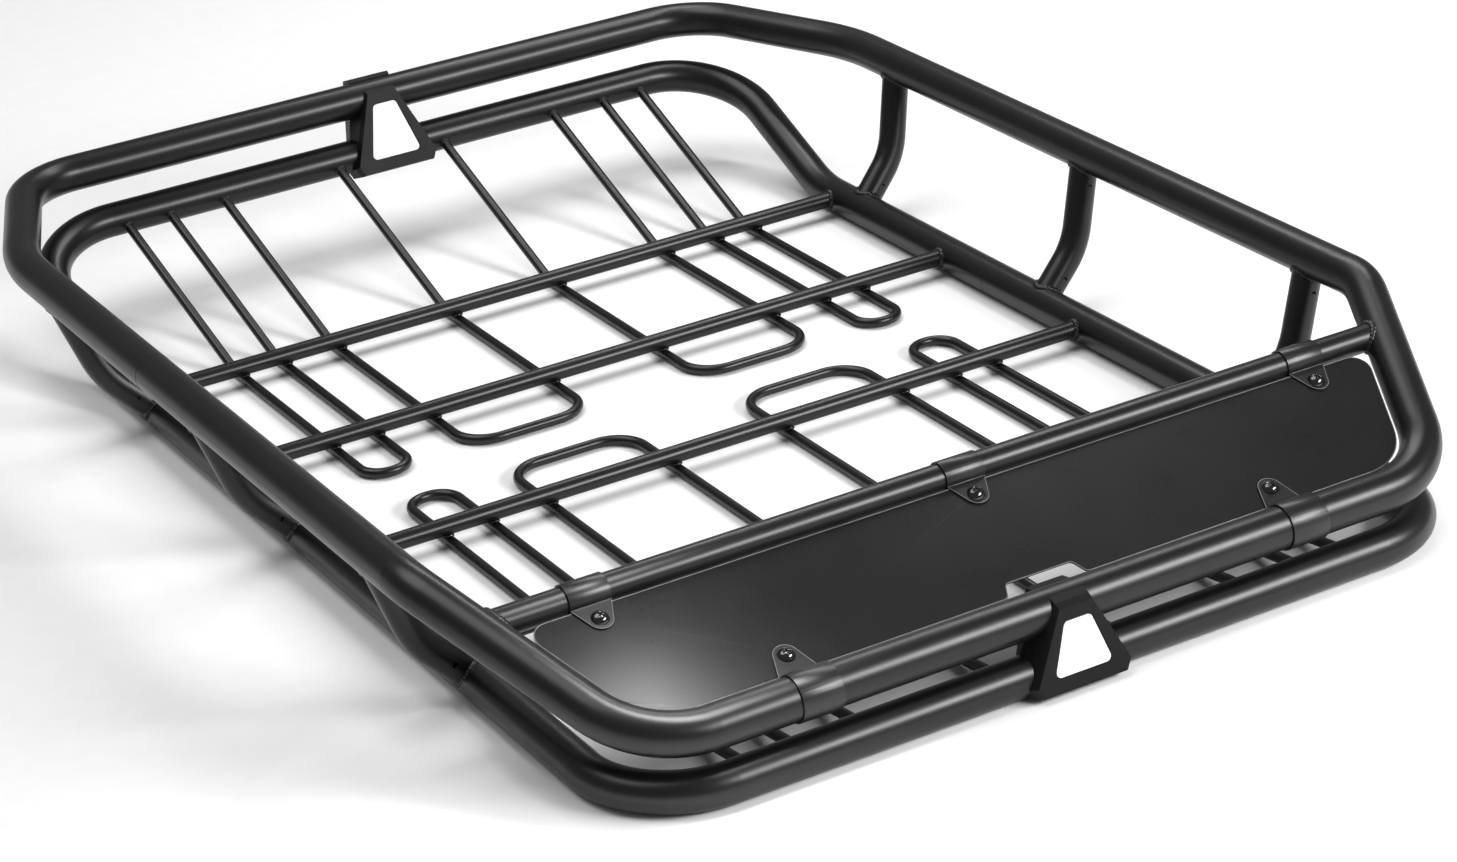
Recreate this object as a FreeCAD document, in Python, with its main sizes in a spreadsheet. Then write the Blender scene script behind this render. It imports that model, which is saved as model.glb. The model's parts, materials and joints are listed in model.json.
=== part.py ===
import FreeCAD, Part
import math
import os
import Sketcher

# Roof cargo basket: two bent tube hoops one above the other, each made as a
# front half and a rear half, held apart by six bent uprights.  The floor is
# eight bent U rods with four cross bars welded over them.  A bar and a sheet
# fairing close the sloping front, and a two-piece plastic clamp joins the two
# hoops at the middle of each end.
# Millimetres.  +X is the width, +Y is the rear, +Z is up.

SIZES = [
    # tube stock
    ("upper_tube", 37.8, "outer diameter of the upper hoop tube"),
    ("lower_tube", 35.6, "outer diameter of the lower hoop tube"),
    ("hoop_wall", 1.6, "wall of both hoop tubes"),
    ("upright_tube", 28.6, "outer diameter of the uprights"),
    ("upright_wall", 1.5, "wall of the uprights"),
    ("fairing_tube", 25.4, "outer diameter of the fairing bar"),
    ("fairing_wall", 1.5, "wall of the fairing bar"),
    ("cross_tube", 17.0, "outer diameter of the cross bars"),
    ("cross_wall", 1.4, "wall of the cross bars"),
    ("rod_bar", 10.0, "diameter of the solid floor rods"),
    # upper hoop
    ("upper_half_width", 485.0, "centre of the upper side rails from the middle"),
    ("upper_level", 154.0, "height of the upper side rails"),
    ("upper_seam", 100.0, "where the upper halves meet, from the middle"),
    ("upper_rear_bend", 444.0, "corner point of the rear inward bend"),
    ("upper_rear_bend_radius", 220.0, "radius of the rear inward bend"),
    ("upper_rear_corner", 403.0, "corner point of the rear end tube"),
    ("upper_rear_end", 652.5, "rear end tube of the upper hoop"),
    ("upper_corner_radius", 82.0, "radius of the upper end corners"),
    ("upper_front_bend", -435.0, "corner point of the front downward bend"),
    ("upper_front_bend_radius", 66.0, "radius of the front downward bend"),
    ("upper_front_corner", 393.6, "corner point of the front end tube"),
    ("upper_front_end", -647.0, "front end tube of the upper hoop"),
    ("upper_front_level", 66.0, "height of the upper front end tube"),
    ("upper_front_radius", 88.0, "radius of the upper front corners"),
    # lower hoop
    ("lower_half_width", 408.5, "centre of the lower side rails from the middle"),
    ("lower_level", 17.8, "height of the lower side rails"),
    ("lower_seam", 59.0, "where the lower halves meet, from the middle"),
    ("lower_rear_bend", 396.5, "corner point of the rear upward bend"),
    ("lower_rear_bend_radius", 150.0, "radius of the rear upward bend"),
    ("lower_rear_corner", 425.0, "corner point of the lower rear end tube"),
    ("lower_rear_end", 632.7, "lower rear end tube"),
    ("lower_rear_level", 99.8, "height of the lower rear end tube"),
    ("lower_rear_radius", 95.0, "radius of the lower rear corners"),
    ("lower_front_corner", 411.5, "corner point of the lower front end tube"),
    ("lower_front_end", -655.0, "lower front end tube"),
    ("lower_front_radius", 86.0, "radius of the lower front corners"),
    # floor
    ("cross_first", 358.0, "rearmost cross bar"),
    ("cross_pitch", 217.0, "second cross bar behind the first"),
    ("cross_middle_pitch", 242.0, "gap over the middle of the floor"),
    ("cross_level", 19.3, "height of the cross bars, resting on the rods"),
    ("rod_level", 5.8, "height of the flat part of the floor rods"),
    ("rod_kink", 385.0, "where the rear rods start to climb"),
    ("rod_front_kink", -557.0, "where the front rods start to climb"),
    ("rod_kink_radius", 40.0, "radius of the climb bend"),
    ("outer_loop_outside", 301.0, "outer leg of the outer loops"),
    ("outer_loop_inside", 254.0, "inner leg of the outer loops"),
    ("inner_loop_outside", 193.0, "outer leg of the inner loops"),
    ("inner_loop_inside", 61.5, "inner leg of the inner loops"),
    ("rear_rod_spread", 1.028, "how far the rear legs fan out at the end tube"),
    ("outer_loop_radius", 22.8, "bend radius of the outer loops"),
    ("inner_loop_radius", 34.5, "bend radius of the inner loops"),
    ("rear_outer_loop_end", 64.5, "closed end of the rear outer loops"),
    ("rear_inner_loop_end", 67.5, "closed end of the rear inner loops"),
    ("front_outer_loop_end", -7.0, "closed end of the front outer loops"),
    ("front_inner_loop_end", -5.5, "closed end of the front inner loops"),
    # uprights
    ("upright_knee", 456.5, "corner point of the upright bend from the middle"),
    ("upright_knee_level", 65.0, "height of the upright bend"),
    ("upright_knee_radius", 86.0, "radius of the upright bend"),
    ("upright_knee_share", 0.7, "how much of the forward lean is above the bend"),
    ("rear_upright_top", 353.0, "rear uprights on the upper hoop"),
    ("rear_upright_foot", 316.3, "rear uprights on the lower hoop"),
    ("middle_upright_top", 0.7, "middle uprights on the upper hoop"),
    ("middle_upright_foot", -22.8, "middle uprights on the lower hoop"),
    ("front_upright_top", -359.3, "front uprights on the upper hoop"),
    ("front_upright_foot", -371.4, "front uprights on the lower hoop"),
    ("upright_vent", 5.0, "vent hole for the coating to drain"),
    ("vent_level", 124.0, "height of the upper vent hole"),
    # fairing
    ("fairing_bar_at", -494.6, "fairing bar centre"),
    ("fairing_bar_level", 129.3, "height of the fairing bar"),
    ("panel_sheet", 2.0, "thickness of the fairing panel"),
    ("panel_side_gap", 4.6, "clear gap between the panel and the side tubes"),
    ("panel_low_gap", 4.0, "clear gap between the panel and the end tube"),
    ("panel_top_gap", 3.0, "clear gap between the panel and the fairing bar"),
    ("panel_low_corner", 56.0, "radius of the lower panel corners"),
    ("panel_top_corner", 15.0, "radius of the upper panel corners"),
    ("notch_half_low", 40.0, "half width of the clamp notch at the edge"),
    ("notch_half_high", 33.0, "half width of the clamp notch at its top"),
    ("notch_reach", 15.0, "depth of the clamp notch"),
    ("notch_corner", 5.0, "radius in the notch corners"),
    ("clip_band", 38.0, "width of the clip band along the tube"),
    ("clip_sheet", 1.6, "clip sheet thickness"),
    ("clip_fit", 0.05, "clearance between a clip and its tube"),
    ("clip_nose", 11.0, "radius of the rounded clip end"),
    ("clip_root", 0.25, "clip tab starts this far inside the band"),
    ("bar_clip_reach", 29.6, "fairing bar centre to screw"),
    ("rail_clip_reach", 41.0, "end tube centre to screw"),
    ("bar_clip_at", 362.0, "outer clips on the fairing bar"),
    ("rail_clip_at", 243.0, "clips on the upper front end tube"),
    ("fairing_screw", 5.0, "shank diameter of the fairing screws"),
    ("screw_dome", 8.0, "half width of the domed screw head"),
    ("screw_dome_rise", 5.2, "height of the domed screw head"),
    ("nut_across", 5.4, "corner radius of the fairing nuts"),
    ("nut_thick", 4.5, "thickness of the fairing nuts"),
    ("screw_tail", 1.5, "fairing screw end beyond its nut"),
    # hoop joints
    ("sleeve_reach", 110.0, "length of the joint sleeves"),
    ("sleeve_wall", 2.0, "wall of the joint sleeves"),
    ("sleeve_fit", 0.1, "clearance round the joint sleeves"),
    ("joint_screw", 5.0, "shank diameter of the joint screws"),
    ("joint_screw_head", 9.5, "head diameter of the joint screws"),
    ("joint_screw_reach", 9.0, "length of the joint screws"),
    ("joint_screw_sink", 0.7, "joint screw head inside the underside of the tube"),
    ("joint_screw_at", 32.0, "joint screw from the seam"),
    # end clamps
    ("clamp_gap", 0.5, "parting gap between the clamp halves"),
    ("clamp_face_at", 25.0, "clamp face from the plane of the two tubes"),
    ("front_clamp_shift", -3.0, "front clamp off the middle"),
    ("rear_clamp_shift", 1.0, "rear clamp off the middle"),
    ("front_face_top", 31.0, "top edge of the front clamp face"),
    ("front_face_low", -41.0, "bottom edge of the front clamp face"),
    ("rear_face_top", 31.5, "top edge of the rear clamp face"),
    ("rear_face_low", -53.0, "bottom edge of the rear clamp face"),
    ("face_half_top", 16.5, "half width of the clamp face at the top"),
    ("face_half_low", 46.0, "half width of the clamp face at the bottom"),
    ("front_root_half_top", 24.0, "half width of the front clamp at the tubes, top"),
    ("front_root_half_low", 58.0, "half width of the front clamp at the tubes, bottom"),
    ("rear_root_half_top", 22.0, "half width of the rear clamp at the tubes, top"),
    ("rear_root_half_low", 51.5, "half width of the rear clamp at the tubes, bottom"),
    ("root_under", 9.0, "clamp face half below the crown of the upper tube"),
    ("front_crest_at", 11.0, "where the front clamp meets the upper tube, from the plane"),
    ("rear_crest_at", 17.0, "where the rear clamp meets the upper tube, from the plane"),
    ("crest_slope", 0.62, "rise of the clamp top per length towards the tube"),
    ("crest_half_top", 17.0, "half width where the clamp meets the upper tube"),
    ("front_crest_half_low", 53.0, "half width at the crest of the front clamp, bottom"),
    ("rear_crest_half_low", 48.5, "half width at the crest of the rear clamp, bottom"),
    ("clamp_shoulder_at", 19.5, "shoulder from the plane of the two tubes"),
    ("shoulder_half_top", 16.8, "half width at the shoulder, top"),
    ("front_shoulder_half_low", 49.0, "half width at the front shoulder, bottom"),
    ("rear_shoulder_half_low", 47.5, "half width at the rear shoulder, bottom"),
    ("shoulder_over", 4.3, "shoulder above the top edge of the face"),
    ("face_low_bevel", 1.0, "bevel along the bottom edge of the face"),
    ("clamp_corner", 5.0, "cut off the lower clamp corners"),
    ("clamp_bevel", 2.0, "bevel round the clamp face"),
    ("front_back_half_top", 18.5, "half width of the front clamp back at the top"),
    ("rear_back_half_top", 22.0, "half width of the rear clamp back at the top"),
    ("back_half_low", 41.0, "half width of the clamp back at the bottom"),
    ("back_flare_top", 1.0, "how much wider the clamp back is at the tubes, top"),
    ("back_flare_low", 6.0, "how much wider the clamp back is at the tubes, bottom"),
    ("back_low_lift", 4.0, "bottom of the clamp back above the bottom of its tube side"),
    ("front_back_over", -2.5, "front clamp back above the crown of the upper tube"),
    ("rear_back_over", 4.3, "rear clamp back above the crown of the upper tube"),
    ("front_back_reach", 22.0, "depth of the front clamp back half"),
    ("rear_back_reach", 24.2, "depth of the rear clamp back half"),
    ("badge_half_top", 14.0, "half width of the badge plate at the top"),
    ("badge_half_low", 30.0, "half width of the badge plate at the bottom"),
    ("badge_top_inset", 11.0, "badge below the top edge of the clamp face"),
    ("badge_low_inset", 13.5, "badge above the bottom edge of the clamp face"),
    ("badge_recess", 2.0, "depth of the badge recess"),
    ("badge_sheet", 1.5, "thickness of the badge plate"),
    ("badge_corner", 5.5, "radius of the badge corners"),
    ("badge_gap", 0.9, "gap between the badge plate and its recess"),
    ("clamp_bolt", 5.0, "shank diameter of the clamp bolts"),
    ("clamp_bolt_head", 9.0, "head diameter of the clamp bolts"),
    ("clamp_bolt_head_thick", 4.0, "head height of the clamp bolts"),
    ("clamp_bolt_at", 15.0, "clamp bolts from the middle of the clamp"),
    ("clamp_bolt_bite", 14.0, "bolt length inside the face half"),
]

doc = FreeCAD.newDocument("roof_basket")
dims = doc.addObject("Spreadsheet::Sheet", "dims")
sheet_rows = []


def add_size(alias, number, note):
    """One row of the sheet: its name, its number and what it is."""
    row = len(sheet_rows) + 1
    dims.set("A%d" % row, alias)
    dims.set("B%d" % row, "%.6g" % number)
    dims.setAlias("B%d" % row, alias)
    dims.set("C%d" % row, note)
    sheet_rows.append(alias)


for alias, number, note in SIZES:
    add_size(alias, number, note)
doc.recompute()


def size(alias):
    return float(dims.get(alias))


def vec(x, y, z):
    return FreeCAD.Vector(x, y, z)


finished = []


def keep(item, label):
    item.Label = label
    finished.append((item, label))
    return item


# ---------------------------------------------------------------- bent bars
def rounded_line(points, radii):
    """Straight runs joined by tangent arcs through the corner points."""
    edges = []
    run_start = points[0]
    for at in range(1, len(points) - 1):
        corner = points[at]
        radius = radii[at - 1]
        back = (points[at - 1] - corner).normalize()
        ahead = (points[at + 1] - corner).normalize()
        half_angle = back.getAngle(ahead) / 2
        reach = radius / math.tan(half_angle)
        inward = (back + ahead).normalize()
        arc_start = corner + back * reach
        arc_end = corner + ahead * reach
        arc_middle = corner + inward * (radius / math.sin(half_angle) - radius)
        edges.append(Part.makeLine(run_start, arc_start))
        edges.append(Part.Arc(arc_start, arc_middle, arc_end).toShape())
        run_start = arc_end
    edges.append(Part.makeLine(run_start, points[-1]))
    return Part.Wire(edges)


def bent_bar(name, points, radii, radius_rule):
    """Round bar swept along a rounded line."""
    line = doc.addObject("Part::Feature", name + "_line")
    line.Shape = rounded_line(points, radii)
    ring = doc.addObject("Part::Circle", name + "_ring")
    ring.setExpression("Radius", radius_rule)
    facing = FreeCAD.Rotation(vec(0, 0, 1), points[1] - points[0])
    ring.Placement = FreeCAD.Placement(points[0], facing)
    bar = doc.addObject("Part::Sweep", name)
    bar.Sections = [ring]
    bar.Spine = (line, ["Edge%d" % n for n in range(1, len(line.Shape.Edges) + 1)])
    bar.Solid = True
    return bar


def cut(name, base, tool):
    result = doc.addObject("Part::Cut", name)
    result.Base = base
    result.Tool = tool
    return result


def joined(name, items):
    result = doc.addObject("Part::Compound", name)
    result.Links = items
    return result


def rod_cylinder(name, radius_rule, length_rule, base, direction):
    """Straight cylinder from a base point along a direction."""
    bar = doc.addObject("Part::Cylinder", name)
    bar.setExpression("Radius", radius_rule)
    bar.setExpression("Height", length_rule)
    facing = FreeCAD.Rotation(vec(0, 0, 1), direction)
    bar.Placement = FreeCAD.Placement(base, facing)
    return bar


def mirrored(points):
    """The same points on the other side, in running order from there."""
    return [vec(-p.x, p.y, p.z) for p in reversed(points)]


upper_level = size("upper_level")
upper_side = size("upper_half_width")
lower_level = size("lower_level")
lower_side = size("lower_half_width")

hoop_lines = {
    "rear_upper": (
        [vec(upper_side, size("upper_seam"), upper_level),
         vec(upper_side, size("upper_rear_bend"), upper_level),
         vec(size("upper_rear_corner"), size("upper_rear_end"), upper_level)],
        [size("upper_rear_bend_radius"), size("upper_corner_radius")],
        "upper_tube"),
    "front_upper": (
        [vec(upper_side, size("upper_seam"), upper_level),
         vec(upper_side, size("upper_front_bend"), upper_level),
         vec(size("upper_front_corner"), size("upper_front_end"),
             size("upper_front_level"))],
        [size("upper_front_bend_radius"), size("upper_front_radius")],
        "upper_tube"),
    "rear_lower": (
        [vec(lower_side, size("lower_seam"), lower_level),
         vec(lower_side, size("lower_rear_bend"), lower_level),
         vec(size("lower_rear_corner"), size("lower_rear_end"),
             size("lower_rear_level"))],
        [size("lower_rear_bend_radius"), size("lower_rear_radius")],
        "lower_tube"),
    "front_lower": (
        [vec(lower_side, size("lower_seam"), lower_level),
         vec(size("lower_front_corner"), size("lower_front_end"), lower_level)],
        [size("lower_front_radius")],
        "lower_tube"),
}

hoop_solid = {}
hoop_tube = {}
for hoop, (side_points, side_radii, tube) in hoop_lines.items():
    points = side_points + mirrored(side_points)
    radii = side_radii + list(reversed(side_radii))
    outside = "dims.%s / 2" % tube
    inside = "dims.%s / 2 - dims.hoop_wall" % tube
    hoop_solid[hoop] = bent_bar(hoop + "_solid", points, radii, outside)
    bore = bent_bar(hoop + "_bore", points, radii, inside)
    hoop_tube[hoop] = cut(hoop + "_tube", hoop_solid[hoop], bore)

# ---------------------------------------------------------------- joints
# A sleeve inside each seam, held by two countersunk screws from below.
seams = {
    "upper_left": (-upper_side, "upper_seam", upper_level, "upper_tube", "upper"),
    "upper_right": (upper_side, "upper_seam", upper_level, "upper_tube", "upper"),
    "lower_left": (-lower_side, "lower_seam", lower_level, "lower_tube", "lower"),
    "lower_right": (lower_side, "lower_seam", lower_level, "lower_tube", "lower"),
}
joint_screws = []
screw_sets = {"rear_upper": [], "front_upper": [], "rear_lower": [], "front_lower": []}
for seam, (across, seam_at, level, tube, hoop) in seams.items():
    middle = size(seam_at)
    start = vec(across, middle - size("sleeve_reach") / 2, level)
    along = vec(0, 1, 0)
    outside = "dims.%s / 2 - dims.hoop_wall - dims.sleeve_fit" % tube
    sleeve_out = rod_cylinder(seam + "_sleeve_out", outside, "dims.sleeve_reach",
                              start, along)
    sleeve_in = rod_cylinder(seam + "_sleeve_in", outside + " - dims.sleeve_wall",
                             "dims.sleeve_reach", start, along)
    sleeve_tube = cut(seam + "_sleeve_tube", sleeve_out, sleeve_in)
    seam_screws = []
    for end, side in (("rear", 1), ("front", -1)):
        name = "%s_%s_joint_screw" % (seam, end)
        foot = level - size(tube) / 2 + size("joint_screw_sink")
        spot = vec(across, middle + side * size("joint_screw_at"), foot)
        shank = rod_cylinder(name + "_shank", "dims.joint_screw / 2",
                             "dims.joint_screw_reach", spot, vec(0, 0, 1))
        head = doc.addObject("Part::Cone", name + "_head")
        head.setExpression("Radius1", "dims.joint_screw_head / 2")
        head.setExpression("Radius2", "dims.joint_screw / 2")
        head.setExpression("Height", "(dims.joint_screw_head - dims.joint_screw) / 2")
        head.Placement = FreeCAD.Placement(spot, FreeCAD.Rotation())
        screw = doc.addObject("Part::Fuse", name)
        screw.Base = head
        screw.Tool = shank
        # the countersink mouth runs out through the underside of the tube
        mouth = rod_cylinder(name + "_mouth", "dims.joint_screw_head / 2",
                             "dims.joint_screw_head / 4",
                             spot - vec(0, 0, size("joint_screw_head") / 4),
                             vec(0, 0, 1))
        seat = joined(name + "_seat", [screw, mouth])
        screw_sets["%s_%s" % (end, hoop)].append(seat)
        seam_screws.append(screw)
        joint_screws.append(screw)
    drilled = cut(seam + "_sleeve", sleeve_tube,
                  joined(seam + "_sleeve_drills", seam_screws))
    keep(drilled, seam + "_joint_sleeve")

for hoop in hoop_tube:
    drills = joined(hoop + "_drills", screw_sets[hoop])
    keep(cut(hoop + "_rail", hoop_tube[hoop], drills), hoop + "_hoop")

keep(joined("joint_screw_set", joint_screws), "joint_screws")

upper_hoop_solid = joined("upper_hoop_solid",
                          [hoop_solid["rear_upper"], hoop_solid["front_upper"]])
lower_hoop_solid = joined("lower_hoop_solid",
                          [hoop_solid["rear_lower"], hoop_solid["front_lower"]])

# ---------------------------------------------------------------- uprights
for place, half in (("rear", "rear"), ("middle", "front"), ("front", "front")):
    top_at = size(place + "_upright_top")
    foot_at = size(place + "_upright_foot")
    knee_at = top_at + size("upright_knee_share") * (foot_at - top_at)
    for side, hand in (("left", -1), ("right", 1)):
        name = "%s_%s_upright" % (side, place)
        points = [vec(hand * upper_side, top_at, upper_level),
                  vec(hand * size("upright_knee"), knee_at, size("upright_knee_level")),
                  vec(hand * lower_side, foot_at, lower_level)]
        radii = [size("upright_knee_radius")]
        solid = bent_bar(name + "_solid", points, radii, "dims.upright_tube / 2")
        bore = bent_bar(name + "_bore", points, radii,
                        "dims.upright_tube / 2 - dims.upright_wall")
        tube = cut(name + "_tube", solid, bore)
        top_coped = cut(name + "_top_cope", tube, hoop_solid[half + "_upper"])
        coped = cut(name + "_cope", top_coped, hoop_solid[half + "_lower"])
        # one vent near the top and one near the foot, both facing forward
        down = (points[1] - points[0]).normalize()
        top_run = (upper_level - size("vent_level")) / abs(down.z)
        top_vent = rod_cylinder(name + "_top_vent", "dims.upright_vent / 2",
                                "dims.upright_tube / 2",
                                points[0] + down * top_run, vec(0, -1, 0))
        low = (points[1] - points[2]).normalize()
        foot_run = size("lower_tube") / 2 + size("upright_tube") / 2
        foot_vent = rod_cylinder(name + "_foot_vent", "dims.upright_vent / 2",
                                 "dims.upright_tube / 2",
                                 points[2] + low * foot_run, vec(0, -1, 0))
        vents = joined(name + "_vents", [top_vent, foot_vent])
        keep(cut(name + "_vented", coped, vents), name)

# ---------------------------------------------------------------- floor
rod_level = size("rod_level")
rear_end = size("lower_rear_end")
rear_end_level = size("lower_rear_level")
front_end = size("lower_front_end")
spread = size("rear_rod_spread")

for loop in ("outer", "inner"):
    outside = size(loop + "_loop_outside")
    inside = size(loop + "_loop_inside")
    loop_radius = size(loop + "_loop_radius")
    kink_radius = size("rod_kink_radius")
    radii = [kink_radius, loop_radius, loop_radius, kink_radius]
    for side, hand in (("left", -1), ("right", 1)):
        closed = size("rear_%s_loop_end" % loop)
        kink = size("rod_kink")
        points = [vec(hand * outside * spread, rear_end, rear_end_level),
                  vec(hand * outside, kink, rod_level),
                  vec(hand * outside, closed, rod_level),
                  vec(hand * inside, closed, rod_level),
                  vec(hand * inside, kink, rod_level),
                  vec(hand * inside * spread, rear_end, rear_end_level)]
        name = "rear_%s_%s_rod" % (side, loop)
        rod = bent_bar(name + "_bar", points, radii, "dims.rod_bar / 2")
        keep(cut(name + "_coped", rod, hoop_solid["rear_lower"]), name)
        closed = size("front_%s_loop_end" % loop)
        kink = size("rod_front_kink")
        points = [vec(hand * outside, front_end, lower_level),
                  vec(hand * outside, kink, rod_level),
                  vec(hand * outside, closed, rod_level),
                  vec(hand * inside, closed, rod_level),
                  vec(hand * inside, kink, rod_level),
                  vec(hand * inside, front_end, lower_level)]
        name = "front_%s_%s_rod" % (side, loop)
        rod = bent_bar(name + "_bar", points, radii, "dims.rod_bar / 2")
        keep(cut(name + "_coped", rod, hoop_solid["front_lower"]), name)

cross_at = size("cross_first")
cross_spots = [("rear_outer", cross_at)]
cross_at = cross_at - size("cross_pitch")
cross_spots.append(("rear_inner", cross_at))
cross_at = cross_at - size("cross_middle_pitch")
cross_spots.append(("front_inner", cross_at))
cross_at = cross_at - size("cross_pitch")
cross_spots.append(("front_outer", cross_at))
for place, at in cross_spots:
    name = place + "_cross_bar"
    start = vec(-lower_side, at, size("cross_level"))
    along = vec(1, 0, 0)
    solid = rod_cylinder(name + "_solid", "dims.cross_tube / 2",
                         "dims.lower_half_width * 2", start, along)
    bore = rod_cylinder(name + "_bore", "dims.cross_tube / 2 - dims.cross_wall",
                        "dims.lower_half_width * 2", start, along)
    tube = cut(name + "_tube", solid, bore)
    half = "rear" if at > size("lower_seam") else "front"
    keep(cut(name + "_coped", tube, hoop_solid[half + "_lower"]), name)

# ---------------------------------------------------------------- fairing
slope_run = size("fairing_bar_at") - size("upper_front_end")
slope_rise = size("fairing_bar_level") - size("upper_front_level")
slope_length = math.hypot(slope_run, slope_rise)
slope_angle = math.degrees(math.atan2(slope_rise, slope_run))
bar_share = ((size("upper_front_bend") - size("fairing_bar_at"))
             / (size("upper_front_bend") - size("upper_front_end")))
bar_half = upper_side + bar_share * (size("upper_front_corner") - upper_side)

add_size("fairing_bar_half", bar_half, "half length of the fairing bar")
doc.recompute()

bar_start = vec(-bar_half, size("fairing_bar_at"), size("fairing_bar_level"))
fairing_solid = rod_cylinder("fairing_bar_solid", "dims.fairing_tube / 2",
                             "dims.fairing_bar_half * 2", bar_start, vec(1, 0, 0))
fairing_bore = rod_cylinder("fairing_bar_bore",
                            "dims.fairing_tube / 2 - dims.fairing_wall",
                            "dims.fairing_bar_half * 2", bar_start, vec(1, 0, 0))
fairing_tube = cut("fairing_bar_tube", fairing_solid, fairing_bore)
keep(cut("fairing_bar_coped", fairing_tube, hoop_solid["front_upper"]), "fairing_bar")

# the fairing plane: local X across, local Y up the slope, local Z out of it
fairing_turn = FreeCAD.Rotation(vec(1, 0, 0), slope_angle)
end_tube_middle = vec(0, size("upper_front_end"), size("upper_front_level"))
bar_middle = vec(0, size("fairing_bar_at"), size("fairing_bar_level"))


# ---------------------------------------------------------------- bodies
def new_body(name):
    return doc.addObject("PartDesign::Body", name)


def plane_of(body, role):
    for feature in body.Origin.OriginFeatures:
        if feature.Role == role:
            return feature
    raise ValueError("no plane " + role)


def new_sketch(body, name, role, height_rule=None):
    sketch = body.newObject("Sketcher::SketchObject", name)
    sketch.AttachmentSupport = [(plane_of(body, role), "")]
    sketch.MapMode = "FlatFace"
    if height_rule:
        sketch.setExpression(".AttachmentOffset.Base.z", height_rule)
    return sketch


def outline(sketch, corners):
    """Closed outline through corner points given as pairs of sheet rules."""
    spots = []
    for across, up in corners:
        spots.append((solve(across), solve(up)))
    count = len(spots)
    lines = []
    for at in range(count):
        here = spots[at]
        there = spots[(at + 1) % count]
        segment = Part.LineSegment(vec(here[0], here[1], 0), vec(there[0], there[1], 0))
        lines.append(sketch.addGeometry(segment, False))
    for at in range(count):
        following = lines[(at + 1) % count]
        sketch.addConstraint(Sketcher.Constraint("Coincident", lines[at], 2, following, 1))
    for at in range(count):
        pair = (("DistanceX", spots[at][0], corners[at][0]),
                ("DistanceY", spots[at][1], corners[at][1]))
        for kind, number, rule in pair:
            made = sketch.addConstraint(
                Sketcher.Constraint(kind, -1, 1, lines[at], 1, number))
            if "dims" in rule:
                sketch.setExpression("Constraints[%d]" % made, rule)
    return lines


def circle(sketch, across, up, radius_rule):
    ring = sketch.addGeometry(
        Part.Circle(vec(solve(across), solve(up), 0), vec(0, 0, 1), solve(radius_rule)),
        False)
    for kind, rule in (("DistanceX", across), ("DistanceY", up)):
        made = sketch.addConstraint(
            Sketcher.Constraint(kind, -1, 1, ring, 3, solve(rule)))
        if "dims" in rule:
            sketch.setExpression("Constraints[%d]" % made, rule)
    made = sketch.addConstraint(
        Sketcher.Constraint("Radius", ring, solve(radius_rule)))
    sketch.setExpression("Constraints[%d]" % made, radius_rule)
    return ring


rule_reader = doc.addObject("Part::Vertex", "rule_reader")


def solve(rule):
    """Number a sheet rule stands for."""
    rule_reader.setExpression("X", rule)
    rule_reader.recompute()
    return float(rule_reader.X)


def pad(body, name, sketch, length_rule, midplane=False, reverse=False):
    feature = body.newObject("PartDesign::Pad", name)
    feature.Profile = sketch
    feature.setExpression("Length", length_rule)
    if midplane:
        feature.Midplane = True
    feature.Reversed = reverse
    return feature


def pocket(body, name, sketch, length_rule, midplane=False, reverse=False):
    feature = body.newObject("PartDesign::Pocket", name)
    feature.Profile = sketch
    feature.setExpression("Length", length_rule)
    if midplane:
        feature.Midplane = True
    feature.Reversed = reverse
    return feature


def round_edges(body, name, base, wanted, radius_rule):
    """Fillet the edges of the base feature that the test picks out."""
    doc.recompute()
    names = []
    for number, edge in enumerate(base.Shape.Edges, start=1):
        if wanted(edge):
            names.append("Edge%d" % number)
    feature = body.newObject("PartDesign::Fillet", name)
    feature.Base = (base, names)
    feature.setExpression("Radius", radius_rule)
    return feature


def runs_along(edge, axis, limit=0.98):
    if len(edge.Vertexes) != 2:
        return False
    way = edge.Vertexes[1].Point - edge.Vertexes[0].Point
    if way.Length < 1e-6:
        return False
    return abs(way.normalize().dot(axis)) > limit


# ---------------------------------------------------------------- panel
panel = new_body("panel_body")
sketch = new_sketch(panel, "panel_outline", "XY_Plane", "-dims.panel_sheet / 2")
side_slope = (bar_half - size("upper_front_corner")) / slope_length
side_stretch = math.hypot(1, side_slope)
low_edge = size("upper_tube") / 2 + size("panel_low_gap")
top_edge = slope_length - size("fairing_tube") / 2 - size("panel_top_gap")
side_offset = (size("upper_tube") / 2 + size("panel_side_gap")) * side_stretch


def panel_half(up):
    return size("upper_front_corner") + side_slope * up - side_offset


add_size("panel_low_edge", low_edge, "lower edge of the panel up the slope")
add_size("panel_top_edge", top_edge, "upper edge of the panel up the slope")
add_size("panel_low_half", panel_half(low_edge), "half width along the lower edge")
add_size("panel_top_half", panel_half(top_edge), "half width along the upper edge")
doc.recompute()

outline(sketch, [
    ("-dims.panel_low_half", "dims.panel_low_edge"),
    ("-dims.notch_half_low", "dims.panel_low_edge"),
    ("-dims.notch_half_high", "dims.panel_low_edge + dims.notch_reach"),
    ("dims.notch_half_high", "dims.panel_low_edge + dims.notch_reach"),
    ("dims.notch_half_low", "dims.panel_low_edge"),
    ("dims.panel_low_half", "dims.panel_low_edge"),
    ("dims.panel_top_half", "dims.panel_top_edge"),
    ("-dims.panel_top_half", "dims.panel_top_edge"),
])
sheet_pad = pad(panel, "panel_sheet_pad", sketch, "dims.panel_sheet")
upward = vec(0, 0, 1)


def at_corner(half, up):
    def test(edge):
        spot = edge.CenterOfMass
        near = abs(abs(spot.x) - half) < 0.5 and abs(spot.y - up) < 0.5
        return near and runs_along(edge, upward)
    return test


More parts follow.
